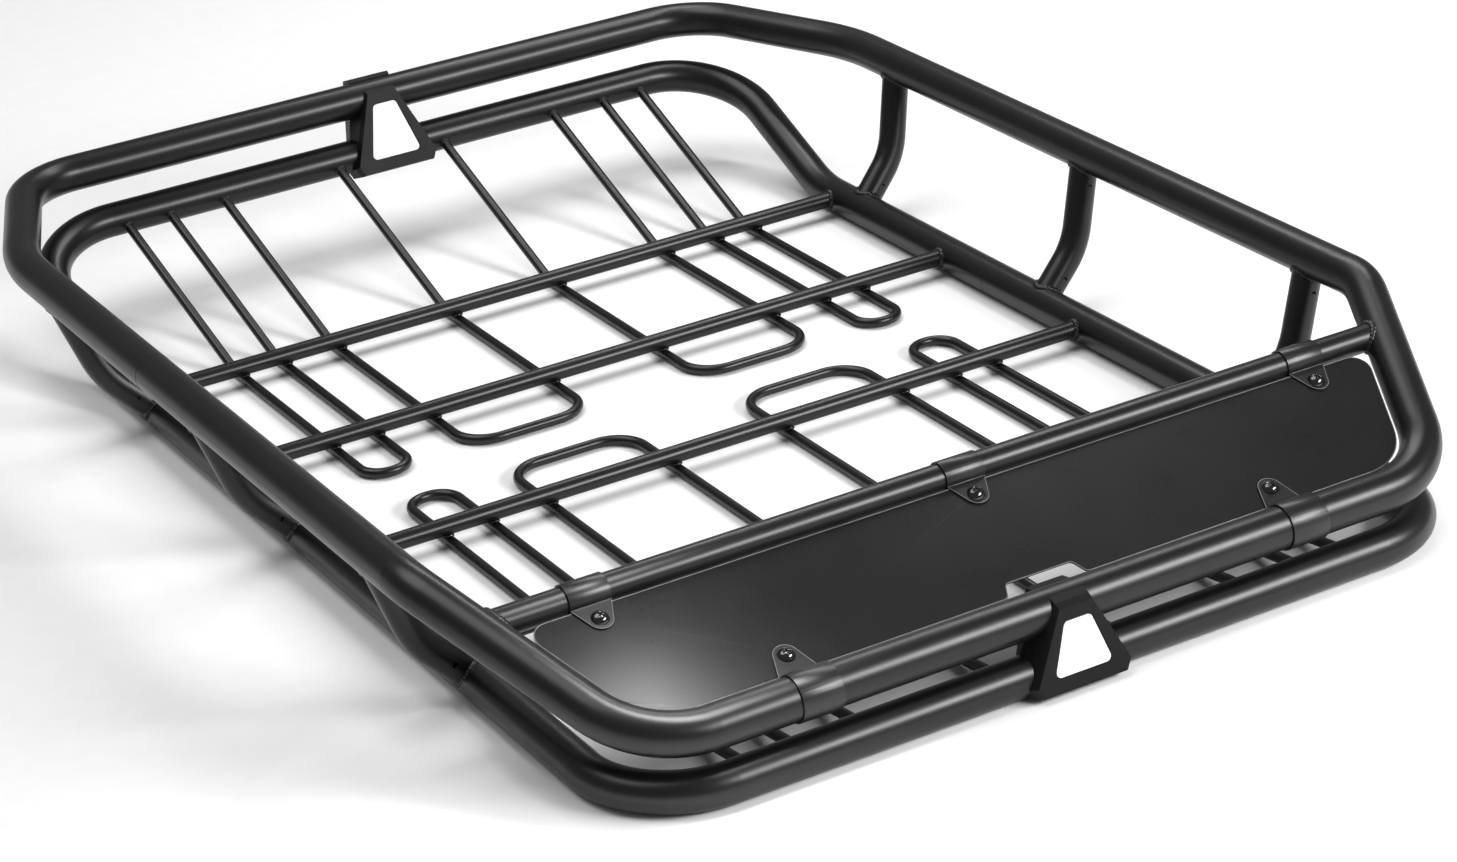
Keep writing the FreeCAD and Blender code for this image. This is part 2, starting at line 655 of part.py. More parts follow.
step = round_edges(panel, "panel_low_corners", sheet_pad,
                   at_corner(panel_half(low_edge), low_edge), "dims.panel_low_corner")
step = round_edges(panel, "panel_top_corners", step,
                   at_corner(panel_half(top_edge), top_edge), "dims.panel_top_corner")
step = round_edges(panel, "panel_notch_mouth", step,
                   at_corner(size("notch_half_low"), low_edge), "dims.notch_corner")
step = round_edges(panel, "panel_notch_top", step,
                   at_corner(size("notch_half_high"), low_edge + size("notch_reach")),
                   "dims.notch_corner")

bar_screw_up = "%.6f - dims.bar_clip_reach" % slope_length
screw_spots = [("-dims.bar_clip_at", bar_screw_up), ("0", bar_screw_up),
               ("dims.bar_clip_at", bar_screw_up),
               ("-dims.rail_clip_at", "dims.rail_clip_reach"),
               ("dims.rail_clip_at", "dims.rail_clip_reach")]
holes = new_sketch(panel, "panel_holes", "XY_Plane", "dims.panel_sheet")
for across, up in screw_spots:
    circle(holes, across, up, "dims.fairing_screw / 2")
pocket(panel, "panel_drilling", holes, "dims.panel_sheet * 2")
panel.Placement = FreeCAD.Placement(end_tube_middle, fairing_turn)
keep(panel, "fairing_panel")


# ---------------------------------------------------------------- clips
def clip(label, tube, reach, spot, turn):
    """Band round a tube with two tabs that pinch the panel between them."""
    body = new_body(label + "_body")
    band = new_sketch(body, label + "_band", "YZ_Plane")
    inner = "dims.%s / 2 + dims.clip_fit" % tube
    circle(band, "0", "0", inner + " + dims.clip_sheet")
    circle(band, "0", "0", inner)
    pad(body, label + "_band_pad", band, "dims.clip_band", midplane=True)
    gap = new_sketch(body, label + "_gap", "YZ_Plane")
    far = inner + " + dims.clip_sheet * 2"
    outline(gap, [("0", "-dims.panel_sheet / 2"), (far, "-dims.panel_sheet / 2"),
                  (far, "dims.panel_sheet / 2"), ("0", "dims.panel_sheet / 2")])
    pocket(body, label + "_gap_cut", gap, "dims.clip_band * 2", midplane=True)
    # straight sides run tangent from the band corners to the rounded end
    root = inner + " + dims.clip_root"
    run = "(dims.%s - (%s))" % (reach, root)
    lean = "(atan2(dims.clip_band / 2; %s)" % run
    lean = lean + " - asin(dims.clip_nose / hypot(dims.clip_band / 2; %s)))" % run
    touch_across = "dims.clip_nose * cos(%s)" % lean
    touch_up = "dims.%s + dims.clip_nose * sin(%s)" % (reach, lean)
    for level, rule, back in (("upper", "dims.panel_sheet / 2", False),
                              ("under", "-dims.panel_sheet / 2", True)):
        tab = new_sketch(body, "%s_%s_tab" % (label, level), "XY_Plane", rule)
        outline(tab, [("-dims.clip_band / 2", root),
                      ("dims.clip_band / 2", root),
                      (touch_across, touch_up),
                      ("-(%s)" % touch_across, touch_up)])
        pad(body, "%s_%s_tab_pad" % (label, level), tab, "dims.clip_sheet",
            reverse=back)
        nose = new_sketch(body, "%s_%s_nose" % (label, level), "XY_Plane", rule)
        circle(nose, "0", "dims.%s" % reach, "dims.clip_nose")
        pad(body, "%s_%s_nose_pad" % (label, level), nose, "dims.clip_sheet",
            reverse=back)
    hole = new_sketch(body, label + "_hole", "XY_Plane")
    circle(hole, "0", "dims.%s" % reach, "dims.fairing_screw / 2")
    pocket(body, label + "_drilling", hole, "dims.panel_sheet * 8", midplane=True)
    body.Placement = FreeCAD.Placement(spot, turn)
    return keep(body, label)


toward_end = fairing_turn.multiply(FreeCAD.Rotation(vec(0, 0, 1), 180))
bar_clip_at = size("bar_clip_at")
rail_clip_at = size("rail_clip_at")
for place, across in (("left", -bar_clip_at), ("middle", 0), ("right", bar_clip_at)):
    clip("bar_%s_clip" % place, "fairing_tube", "bar_clip_reach",
         bar_middle + vec(across, 0, 0), toward_end)
for place, across in (("left", -rail_clip_at), ("right", rail_clip_at)):
    clip("rail_%s_clip" % place, "upper_tube", "rail_clip_reach",
         end_tube_middle + vec(across, 0, 0), fairing_turn)

screws = []
nuts = []
for number, (across, up) in enumerate(screw_spots, start=1):
    foot = end_tube_middle + fairing_turn.multVec(vec(solve(across), solve(up), 0))
    out = fairing_turn.multVec(upward)
    stack = size("panel_sheet") / 2 + size("clip_sheet")
    dome_rise = size("screw_dome_rise")
    ball = (size("screw_dome") ** 2 + dome_rise ** 2) / (2 * dome_rise)
    head = doc.addObject("Part::Sphere", "fairing_screw_%d_head" % number)
    head.setExpression("Radius", "(dims.screw_dome * dims.screw_dome + dims.screw_dome_rise"
                       " * dims.screw_dome_rise) / (2 * dims.screw_dome_rise)")
    head.setExpression("Angle1", "asin(1 - dims.screw_dome_rise / (.Radius / 1 mm))")
    head.Placement = FreeCAD.Placement(foot + out * (stack + dome_rise - ball),
                                       fairing_turn)
    shank = rod_cylinder("fairing_screw_%d_shank" % number, "dims.fairing_screw / 2",
                         "dims.panel_sheet + 2 * dims.clip_sheet + dims.nut_thick"
                         " + dims.screw_tail",
                         foot + out * stack, out * -1)
    screw = doc.addObject("Part::Fuse", "fairing_screw_%d" % number)
    screw.Base = head
    screw.Tool = shank
    screws.append(screw)
    hexagon = doc.addObject("Part::Prism", "fairing_nut_%d_hexagon" % number)
    hexagon.Polygon = 6
    hexagon.setExpression("Circumradius", "dims.nut_across")
    hexagon.setExpression("Height", "dims.nut_thick")
    hexagon.Placement = FreeCAD.Placement(
        foot - out * (stack + size("nut_thick")), fairing_turn)
    nuts.append(cut("fairing_nut_%d" % number, hexagon, shank))
keep(joined("fairing_screw_set", screws), "fairing_screws")
keep(joined("fairing_nut_set", nuts), "fairing_nuts")


# ---------------------------------------------------------------- end clamps
def edge_in_recess(low, high):
    def test(edge):
        if not runs_along(edge, upward):
            return False
        spots = sorted(v.Point.z for v in edge.Vertexes)
        return abs(spots[0] - low) < 0.01 and abs(spots[1] - high) < 0.01
    return test


def clamp(end, lower_middle, upper_middle, upper_hoop, lower_hoop):
    """Face half, back half, badge plate and bolts round one pair of end tubes."""
    up = (upper_middle - lower_middle).normalize()
    out = vec(1, 0, 0).cross(up)
    turn = FreeCAD.Rotation(vec(1, 0, 0), up, out, "ZXY")
    middle = (upper_middle + lower_middle) * 0.5 + vec(size(end + "_clamp_shift"), 0, 0)
    place = FreeCAD.Placement(middle, turn)
    spacing = (upper_middle - lower_middle).Length
    crown = "%.4f + dims.upper_tube / 2" % (spacing / 2)
    face_low = "dims.%s_face_low" % end
    face_top = "dims.%s_face_top" % end

    def block(name, layers):
        """Body lofted straight through outlines at rising heights."""
        body = new_body(name)
        outlines = []
        for number, (height, corners) in enumerate(layers, start=1):
            layer = new_sketch(body, "%s_outline_%d" % (name, number), "XY_Plane", height)
            outline(layer, corners)
            outlines.append(layer)
        loft = body.newObject("PartDesign::AdditiveLoft", name + "_loft")
        loft.Profile = outlines[0]
        loft.Sections = outlines[1:]
        loft.Ruled = True
        return body

    def trapezoid(half_low, low, half_top, top, clip_off):
        """Four sided outline with the two lower corners cut off."""
        return [("-(%s) + %s" % (half_low, clip_off), low),
                ("%s - %s" % (half_low, clip_off), low),
                (half_low, "%s + 2 * %s" % (low, clip_off)),
                (half_top, top),
                ("-(%s)" % half_top, top),
                ("-(%s)" % half_low, "%s + 2 * %s" % (low, clip_off))]

    crest_at = "dims.%s_crest_at" % end
    crest_top = "%s + dims.crest_slope * (dims.clamp_face_at - %s)" % (face_top, crest_at)
    face = block(end + "_clamp_face_body", [
        ("dims.clamp_gap / 2",
         trapezoid("dims.%s_root_half_low" % end, face_low,
                   "dims.%s_root_half_top" % end, crown + " - dims.root_under",
                   "dims.clamp_corner")),
        (crest_at,
         trapezoid("dims.%s_crest_half_low" % end, face_low,
                   "dims.crest_half_top", crest_top, "dims.clamp_corner")),
        ("dims.clamp_shoulder_at",
         trapezoid("dims.%s_shoulder_half_low" % end, face_low,
                   "dims.shoulder_half_top", face_top + " + dims.shoulder_over",
                   "dims.clamp_corner")),
        ("dims.clamp_face_at",
         trapezoid("dims.face_half_low", face_low + " + dims.face_low_bevel",
                   "dims.face_half_top", face_top, "dims.clamp_corner")),
    ])

    recess = new_sketch(face, end + "_badge_recess", "XY_Plane", "dims.clamp_face_at")
    badge_low = face_low + " + dims.badge_low_inset"
    badge_top = face_top + " - dims.badge_top_inset"
    outline(recess, [("-dims.badge_half_low", badge_low),
                     ("dims.badge_half_low", badge_low),
                     ("dims.badge_half_top", badge_top),
                     ("-dims.badge_half_top", badge_top)])
    cut_in = pocket(face, end + "_badge_pocket", recess, "dims.badge_recess")
    cut_in_test = edge_in_recess(size("clamp_face_at") - size("badge_recess"),
                                 size("clamp_face_at"))
    round_edges(face, end + "_badge_recess_corners", cut_in, cut_in_test,
                "dims.badge_corner")
    bolt_holes = new_sketch(face, end + "_face_bolt_holes", "XY_Plane")
    for across in ("-dims.clamp_bolt_at", "dims.clamp_bolt_at"):
        circle(bolt_holes, across, "0", "dims.clamp_bolt / 2")
    pocket(face, end + "_face_drilling", bolt_holes, "dims.clamp_bolt_bite", reverse=True)
    face.Placement = place
    near_upper = cut(end + "_clamp_face_upper_seat", face, upper_hoop)
    keep(cut(end + "_clamp_face_seat", near_upper, lower_hoop), end + "_clamp_face")

    plate = new_body(end + "_badge_body")
    floor = "dims.clamp_face_at - dims.badge_recess"
    plate_sketch = new_sketch(plate, end + "_badge_outline", "XY_Plane", floor)
    plate_low = "dims.badge_half_low - dims.badge_gap * 1.25"
    plate_top = "dims.badge_half_top - dims.badge_gap"
    outline(plate_sketch, [("-(%s)" % plate_low, badge_low + " + dims.badge_gap"),
                           (plate_low, badge_low + " + dims.badge_gap"),
                           (plate_top, badge_top + " - dims.badge_gap"),
                           ("-(%s)" % plate_top, badge_top + " - dims.badge_gap")])
    plate_pad = pad(plate, end + "_badge_pad", plate_sketch, "dims.badge_sheet")
    round_edges(plate, end + "_badge_corners", plate_pad,
                lambda edge: runs_along(edge, upward),
                "dims.badge_corner - dims.badge_gap")
    plate.Placement = place
    keep(plate, end + "_clamp_badge")

    reach = "dims.%s_back_reach" % end
    back_top = crown + " + dims.%s_back_over" % end
    back_half_top = "dims.%s_back_half_top" % end
    lifted_low = face_low + " + dims.face_low_bevel + dims.back_low_lift"
    back = block(end + "_clamp_back_body", [
        ("-dims.clamp_gap / 2",
         trapezoid("dims.back_half_low + dims.back_flare_low",
                   face_low + " + dims.face_low_bevel",
                   back_half_top + " + dims.back_flare_top", back_top,
                   "dims.clamp_corner")),
        ("-%s + dims.clamp_bevel" % reach,
         trapezoid("dims.back_half_low", lifted_low,
                   back_half_top, back_top, "dims.clamp_corner")),
        ("-" + reach,
         trapezoid("dims.back_half_low - dims.clamp_bevel",
                   lifted_low + " + dims.clamp_bevel",
                   back_half_top + " - dims.clamp_bevel",
                   back_top + " - dims.clamp_bevel", "dims.clamp_corner")),
    ])

    head_holes = new_sketch(back, end + "_back_head_holes", "XY_Plane", "-" + reach)
    shank_holes = new_sketch(back, end + "_back_shank_holes", "XY_Plane", "-" + reach)
    for across in ("-dims.clamp_bolt_at", "dims.clamp_bolt_at"):
        circle(head_holes, across, "0", "dims.clamp_bolt_head / 2")
        circle(shank_holes, across, "0", "dims.clamp_bolt / 2")
    pocket(back, end + "_back_head_drilling", head_holes, "dims.clamp_bolt_head_thick",
           reverse=True)
    pocket(back, end + "_back_shank_drilling", shank_holes, reach, reverse=True)
    back.Placement = place
    back_upper = cut(end + "_clamp_back_upper_seat", back, upper_hoop)
    keep(cut(end + "_clamp_back_seat", back_upper, lower_hoop), end + "_clamp_back")

    bolts = []
    for hand, across in (("left", -size("clamp_bolt_at")), ("right", size("clamp_bolt_at"))):
        name = "%s_%s_clamp_bolt" % (end, hand)
        tail = place.multVec(vec(across, 0, -size("%s_back_reach" % end)))
        bolt_head = rod_cylinder(name + "_head", "dims.clamp_bolt_head / 2",
                                 "dims.clamp_bolt_head_thick", tail, out)
        bolt_shank = rod_cylinder(name + "_shank", "dims.clamp_bolt / 2",
                                  reach + " + dims.clamp_bolt_bite", tail, out)
        bolt = doc.addObject("Part::Fuse", name)
        bolt.Base = bolt_head
        bolt.Tool = bolt_shank
        bolts.append(bolt)
    keep(joined(end + "_clamp_bolt_set", bolts), end + "_clamp_bolts")


clamp("front",
      vec(0, size("lower_front_end"), size("lower_level")),
      vec(0, size("upper_front_end"), size("upper_front_level")),
      hoop_solid["front_upper"], hoop_solid["front_lower"])
clamp("rear",
      vec(0, size("lower_rear_end"), size("lower_rear_level")),
      vec(0, size("upper_rear_end"), size("upper_level")),
      hoop_solid["rear_upper"], hoop_solid["rear_lower"])

doc.removeObject("rule_reader")
doc.recompute()

for item in doc.Objects:
    if "Invalid" in item.State or "Error" in item.State:
        raise RuntimeError("did not build: " + item.Label)

os.makedirs("parts", exist_ok=True)
for item, label in finished:
    shape = item.Shape
    if shape.isNull() or not shape.isValid():
        raise RuntimeError("bad shape: " + label)
    shape.exportStep(os.path.join("parts", label + ".step"))

for item, label in finished:
    box = item.Shape.BoundBox
    print("%-26s solids %d  vol %.1f  X %.1f %.1f  Y %.1f %.1f  Z %.1f %.1f" % (
        label, len(item.Shape.Solids), item.Shape.Volume,
        box.XMin, box.XMax, box.YMin, box.YMax, box.ZMin, box.ZMax))
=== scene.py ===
import json
import math

import bmesh
import bpy
from mathutils import Euler, Matrix, Vector, noise


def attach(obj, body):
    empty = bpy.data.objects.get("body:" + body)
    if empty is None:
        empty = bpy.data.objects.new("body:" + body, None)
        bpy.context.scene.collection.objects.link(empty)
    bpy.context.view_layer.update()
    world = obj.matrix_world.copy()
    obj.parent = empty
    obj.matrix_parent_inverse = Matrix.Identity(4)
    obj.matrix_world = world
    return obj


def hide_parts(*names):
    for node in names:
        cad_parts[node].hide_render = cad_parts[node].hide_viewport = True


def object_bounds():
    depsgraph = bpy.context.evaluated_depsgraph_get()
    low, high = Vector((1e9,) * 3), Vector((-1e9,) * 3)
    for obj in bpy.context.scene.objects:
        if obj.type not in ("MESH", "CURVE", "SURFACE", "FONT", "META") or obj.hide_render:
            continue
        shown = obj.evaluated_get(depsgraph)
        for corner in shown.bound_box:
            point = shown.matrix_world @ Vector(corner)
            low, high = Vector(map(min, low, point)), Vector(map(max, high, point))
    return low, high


# Roof cargo basket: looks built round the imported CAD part.
# Metres.  +X is the width, +Y is the rear, +Z is up, and the fairing is at the front, -Y.

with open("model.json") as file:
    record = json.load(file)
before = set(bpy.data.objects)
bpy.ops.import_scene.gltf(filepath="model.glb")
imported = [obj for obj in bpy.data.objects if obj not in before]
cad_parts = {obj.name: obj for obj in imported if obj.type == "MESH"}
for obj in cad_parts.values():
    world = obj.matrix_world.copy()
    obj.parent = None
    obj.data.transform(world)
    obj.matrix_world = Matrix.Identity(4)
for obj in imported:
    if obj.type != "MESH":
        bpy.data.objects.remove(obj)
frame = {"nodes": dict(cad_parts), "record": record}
cad_box = [list(corner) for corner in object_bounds()]
nodes = frame["nodes"]
record = frame["record"]

MM = 0.001
ALONG = Vector((0, 1, 0))
ACROSS = Vector((1, 0, 0))
UPWARD = Vector((0, 0, 1))
HANDS = (("left", -1), ("right", 1))

# ------------------------------------------------------------ sizes, from the part's sheet
# tube, bar and rod radii: half of the sheet's diameters
UPPER_R = 18.9 * MM
LOWER_R = 17.8 * MM
UPRIGHT_R = 14.3 * MM
FAIRING_R = 12.7 * MM
CROSS_R = 8.5 * MM
ROD_R = 5.0 * MM

# centre lines of the two hoops: straight sides, seams and end tubes, and the upper hoop's
# sloping sides from the front bend to the corner of its front end tube
UPPER_SIDE = 485.0 * MM
UPPER_LEVEL = 154.0 * MM
LOWER_SIDE = 408.5 * MM
LOWER_LEVEL = 17.8 * MM
UPPER_SEAM = 100.0 * MM
LOWER_SEAM = 59.0 * MM
REAR_END = Vector((0, 632.7, 99.8)) * MM
FRONT_END = Vector((0, -655.0, 17.8)) * MM
UPPER_FRONT_BEND = -435.0 * MM
UPPER_FRONT = Vector((0, -647.0, 66.0)) * MM
UPPER_FRONT_CORNER = 393.6 * MM
FAIRING_BAR = Vector((0, -494.6, 129.3)) * MM

# uprights: where the top and the foot stand along Y, and the knee between them
UPRIGHTS = {"rear": (353.0 * MM, 316.3 * MM), "middle": (0.7 * MM, -22.8 * MM),
            "front": (-359.3 * MM, -371.4 * MM)}
KNEE = Vector((456.5, 0, 65.0)) * MM
KNEE_SHARE = 0.7

# floor: where the cross bars lie along Y, and each rod loop's two legs across X
CROSS_FIRST = 358.0 * MM
CROSS_PITCH = 217.0 * MM
CROSS_MIDDLE_PITCH = 242.0 * MM
CROSS_SECOND = CROSS_FIRST - CROSS_PITCH
CROSS_THIRD = CROSS_SECOND - CROSS_MIDDLE_PITCH
CROSS_BARS = {"rear_outer": CROSS_FIRST, "rear_inner": CROSS_SECOND,
              "front_inner": CROSS_THIRD, "front_outer": CROSS_THIRD - CROSS_PITCH}
CROSS_LEVEL = 19.3 * MM
ROD_LEVEL = 5.8 * MM
ROD_KINK = 385.0 * MM
ROD_FRONT_KINK = -557.0 * MM
REAR_SPREAD = 1.028
LEGS = {"outer": (301.0 * MM, 254.0 * MM), "inner": (193.0 * MM, 61.5 * MM)}

# fairing: a slope from the upper front end tube up to the fairing bar, with the panel's
# screws as far from each tube as its clips reach, and heights counted from the slope
SLOPE = math.atan2(FAIRING_BAR.z - UPPER_FRONT.z, FAIRING_BAR.y - UPPER_FRONT.y)
SLOPE_LENGTH = math.hypot(FAIRING_BAR.z - UPPER_FRONT.z, FAIRING_BAR.y - UPPER_FRONT.y)
TO_SLOPE = Matrix.Rotation(SLOPE, 3, "X")
OUT_OF_SLOPE = TO_SLOPE @ UPWARD
BAR_CLIP_REACH = 29.6 * MM
RAIL_CLIP_REACH = 41.0 * MM
BAR_CLIP_AT = 362.0 * MM
RAIL_CLIP_AT = 243.0 * MM
CLIPS = {"bar_left": -BAR_CLIP_AT, "bar_middle": 0.0, "bar_right": BAR_CLIP_AT,
         "rail_left": -RAIL_CLIP_AT, "rail_right": RAIL_CLIP_AT}
PANEL_SHEET = 2.0 * MM
CLIP_SHEET = 1.6 * MM
PANEL_TOP = PANEL_SHEET / 2
TAB_TOP = PANEL_TOP + CLIP_SHEET


# ------------------------------------------------------------ materials
def new_material(name):
    made = bpy.data.materials.new(name)
    made.use_nodes = True
    tree = made.node_tree
    shader = tree.nodes["Principled BSDF"]
    return made, tree, shader


def texture_noise(tree, scale, detail=4.0):
    spot = tree.nodes.new("ShaderNodeTexCoord")
    made = tree.nodes.new("ShaderNodeTexNoise")
    made.inputs["Scale"].default_value = scale
    made.inputs["Detail"].default_value = detail
    made.inputs["Roughness"].default_value = 0.55
    tree.links.new(spot.outputs["Object"], made.inputs["Vector"])
    return made.outputs["Fac"]


def tint(tree, shader, source, dark, light, low=0.3):
    """Base colour from dark to light, over the source's range from low to 1 - low."""
    made = tree.nodes.new("ShaderNodeValToRGB")
    for element, at, colour in zip(made.color_ramp.elements, (low, 1.0 - low), (dark, light)):
        element.position = at
        element.color = (*colour, 1.0)
    tree.links.new(source, made.inputs["Fac"])
    tree.links.new(made.outputs["Color"], shader.inputs["Base Color"])


def gloss(tree, shader, source, low, high):
    """Roughness from low to high, over the middle of the source's range."""
    made = tree.nodes.new("ShaderNodeMapRange")
    made.inputs["From Min"].default_value = 0.3
    made.inputs["From Max"].default_value = 0.7
    made.inputs["To Min"].default_value = low
    made.inputs["To Max"].default_value = high
    tree.links.new(source, made.inputs["Value"])
    tree.links.new(made.outputs["Result"], shader.inputs["Roughness"])


def bumps(tree, shader, layers):
    """Stacks bump layers: (height source, strength, distance)."""
    last = None
    for source, strength, distance in layers:
        made = tree.nodes.new("ShaderNodeBump")
        made.inputs["Strength"].default_value = strength
        made.inputs["Distance"].default_value = distance
        tree.links.new(source, made.inputs["Height"])
        if last is not None:
            tree.links.new(last.outputs["Normal"], made.inputs["Normal"])
        last = made
    tree.links.new(last.outputs["Normal"], shader.inputs["Normal"])


def coat(name, dark, light, rough, specular, grain_scale, grain_strength, fleck=0.0):
    """Painted or moulded surface: fine grain, cloudy colour and gloss.

    fleck is the grain's share in the colour; the rest follows the wide clouds."""
    made, tree, shader = new_material(name)
    cloud = texture_noise(tree, scale=9.0, detail=3.0)
    smear = texture_noise(tree, scale=26.0, detail=2.0)
    wave = texture_noise(tree, scale=160.0, detail=2.0)
    grain = texture_noise(tree, grain_scale, detail=2.0)
    mixed = tree.nodes.new("ShaderNodeMix")
    mixed.data_type = "FLOAT"
    factor, cloud_side, grain_side = (mixed.inputs[at] for at in (0, 2, 3))
    factor.default_value = fleck
    tree.links.new(cloud, cloud_side)
    tree.links.new(grain, grain_side)
    tint(tree, shader, mixed.outputs[0], dark, light, low=0.35)
    gloss(tree, shader, smear, rough - 0.01, rough + 0.015)
    shader.inputs["Specular IOR Level"].default_value = specular
    bumps(tree, shader, [(wave, 0.04, 0.4 * MM), (grain, grain_strength, 0.2 * MM)])
    return made


def plated(name, tone, rough):
    """Plated or drawn steel with fine scratches."""
    made, tree, shader = new_material(name)
    shader.inputs["Metallic"].default_value = 1.0
    cloud = texture_noise(tree, scale=60.0)
    fine = texture_noise(tree, scale=1400.0, detail=2.0)
    tint(tree, shader, cloud, tuple(part * 0.8 for part in tone), tone)
    gloss(tree, shader, fine, rough - 0.06, rough + 0.08)
    bumps(tree, shader, [(fine, 0.1, 0.1 * MM)])
    return made


def dull(name, dark, light, rough, scale, specular=0.5, relief=0.0):
    """Surface with hardly any gloss and one size of grain."""
    made, tree, shader = new_material(name)
    dust = texture_noise(tree, scale)
    tint(tree, shader, dust, dark, light)
    gloss(tree, shader, dust, *rough)
    shader.inputs["Specular IOR Level"].default_value = specular
    if relief:
        bumps(tree, shader, [(dust, relief, 0.1 * MM)])
    return made


COATS = {
    "coated_steel": dict(
        dark=(0.003, 0.003, 0.0032), light=(0.006, 0.006, 0.0062), rough=0.33, specular=0.42,
        grain_scale=1500.0, grain_strength=0.05, fleck=0.2),
    "fairing_sheet": dict(
        dark=(0.004, 0.004, 0.0042), light=(0.011, 0.011, 0.0115), rough=0.28, specular=0.30,
        grain_scale=1100.0, grain_strength=0.03, fleck=0.7),
    "clip_sheet": dict(
        dark=(0.004, 0.004, 0.0042), light=(0.008, 0.008, 0.0082), rough=0.33, specular=0.50,
        grain_scale=1500.0, grain_strength=0.08, fleck=0.2),
    "black_screws": dict(
        dark=(0.002, 0.002, 0.002), light=(0.004, 0.004, 0.004), rough=0.06, specular=1.0,
        grain_scale=1800.0, grain_strength=0.01),
    "clamp_plastic": dict(
        dark=(0.004, 0.004, 0.0042), light=(0.007, 0.007, 0.0072), rough=0.48, specular=0.18,
        grain_scale=1000.0, grain_strength=0.10, fleck=0.4),
    "badge_plate": dict(
        dark=(0.86, 0.86, 0.865), light=(0.9, 0.9, 0.9), rough=0.3, specular=0.4,
        grain_scale=700.0, grain_strength=0.03),
}
slot_material = {name: coat(name, **look) for name, look in COATS.items()}
slot_material["plated_fasteners"] = plated("plated_fasteners", (0.42, 0.42, 0.43), rough=0.34)
slot_material["sleeve_steel"] = plated("sleeve_steel", (0.36, 0.36, 0.37), rough=0.42)

# finishes of added pieces only
# painted highlight: pale grey coat for the lines along the sheet edges, standing in for their
# edge highlight
painted_edge_highlight = coat("painted_edge_highlight", dark=(0.07, 0.07, 0.072), light=(0.16, 0.16, 0.163),
                   rough=0.36, specular=0.5, grain_scale=900.0, grain_strength=0.06, fleck=0.4)
shut_line = dull("shut_line", (0.001, 0.001, 0.001), (0.003, 0.003, 0.003),
                 rough=(0.75, 0.95), scale=300.0, relief=0.1)
floor_paper = dull("floor_paper", (0.88, 0.88, 0.885), (0.9, 0.9, 0.9),
                   rough=(0.85, 0.95), scale=40.0, specular=0.1)

node_slot = {row["node"]: row["material_slot"] for row in record["subparts"]}
for name, thing in nodes.items():
    thing.data.materials.clear()
    thing.data.materials.append(slot_material[node_slot[name]])


# ------------------------------------------------------------ soft edges of the CAD nodes
def soften(name, width):
    """Rounds the sharp edges of a CAD node with modifiers only."""
    thing = nodes[name]
    weld = thing.modifiers.new("join", "WELD")
    weld.merge_threshold = 0.002 * MM
    edge = thing.modifiers.new("edge", "BEVEL")
    edge.width = width
    edge.segments = 3
    edge.limit_method = "ANGLE"
    edge.angle_limit = math.radians(35)
    edge.harden_normals = True


PANEL_ROUND = 0.55 * MM
CLIP_ROUND = 0.35 * MM
CLAMP_ROUND = 0.7 * MM
BADGE_ROUND = 0.4 * MM

soften("fairing_panel", PANEL_ROUND)
for place in CLIPS:
    soften(place + "_clip", CLIP_ROUND)
for end in ("front", "rear"):
    soften(end + "_clamp_face", CLAMP_ROUND)
    soften(end + "_clamp_back", CLAMP_ROUND)
    soften(end + "_clamp_badge", BADGE_ROUND)


# ------------------------------------------------------------ tools for the new pieces
LINE_POINTS = 8                 # points round a thin line


def finish_piece(name, builder, slot, material=None):
    """Turns a bmesh into a smooth piece that rides on the basket."""
    mesh = bpy.data.meshes.new(name)
    bmesh.ops.recalc_face_normals(builder, faces=builder.faces)
    builder.to_mesh(mesh)
    builder.free()
    for face in mesh.polygons:
        face.use_smooth = True
    mesh.materials.append(material or slot_material[slot])
    piece = bpy.data.objects.new(name, mesh)
    bpy.context.scene.collection.objects.link(piece)
    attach(piece, "root")
    return piece


def turns(count):
    """Angles of a full turn in equal steps."""
    return [2 * math.pi * at / count for at in range(count)]


def join_rings(builder, first, second):
    """One band of faces between two rings of vertices."""
    for at in range(len(first)):
        after = (at + 1) % len(first)
        builder.faces.new((first[at], first[after], second[after], second[at]))


def closed_tube(builder, rings):
    """Skin through rings of points, the last ring joined to the first."""
    grid = [[builder.verts.new(point) for point in ring] for ring in rings]
    for at, ring in enumerate(grid):
        join_rings(builder, ring, grid[(at + 1) % len(grid)])


# ------------------------------------------------------------ weld metal
# the shape of a bead, as shares of its nominal size
RIPPLE_PITCH = 1.15
RIPPLE_HEIGHT = 0.16
WOBBLE = 0.20
SINK = 0.18                     # how far the middle lies under the seam
LEAD = 0.35                     # how far the crest leans along the seam
TALL = 0.92
WIDE = 1.15

# how finely it is made
LEAST_RIPPLES = 8
RIPPLE_STEPS = 7                # rings along one ripple
BEAD_POINTS = 10                # points round the bead

# how the noise is read, so that each bead and tack has its own lumps
BEAD_NOISE = 2.2                # radius of the walk through the noise, once round the bead
BEAD_SEED = 310.0               # noise units for each metre between beads
TACK_WOBBLE = 0.22
TACK_NOISE = 1.7
TACK_SEED = 900.0


def square_to(axis):
    """Two directions at right angles to an axis and to each other."""
    side = axis.cross(UPWARD)
    if side.length < 0.1:
        side = axis.cross(ACROSS)
    side.normalize()
    return side, axis.cross(side).normalized()


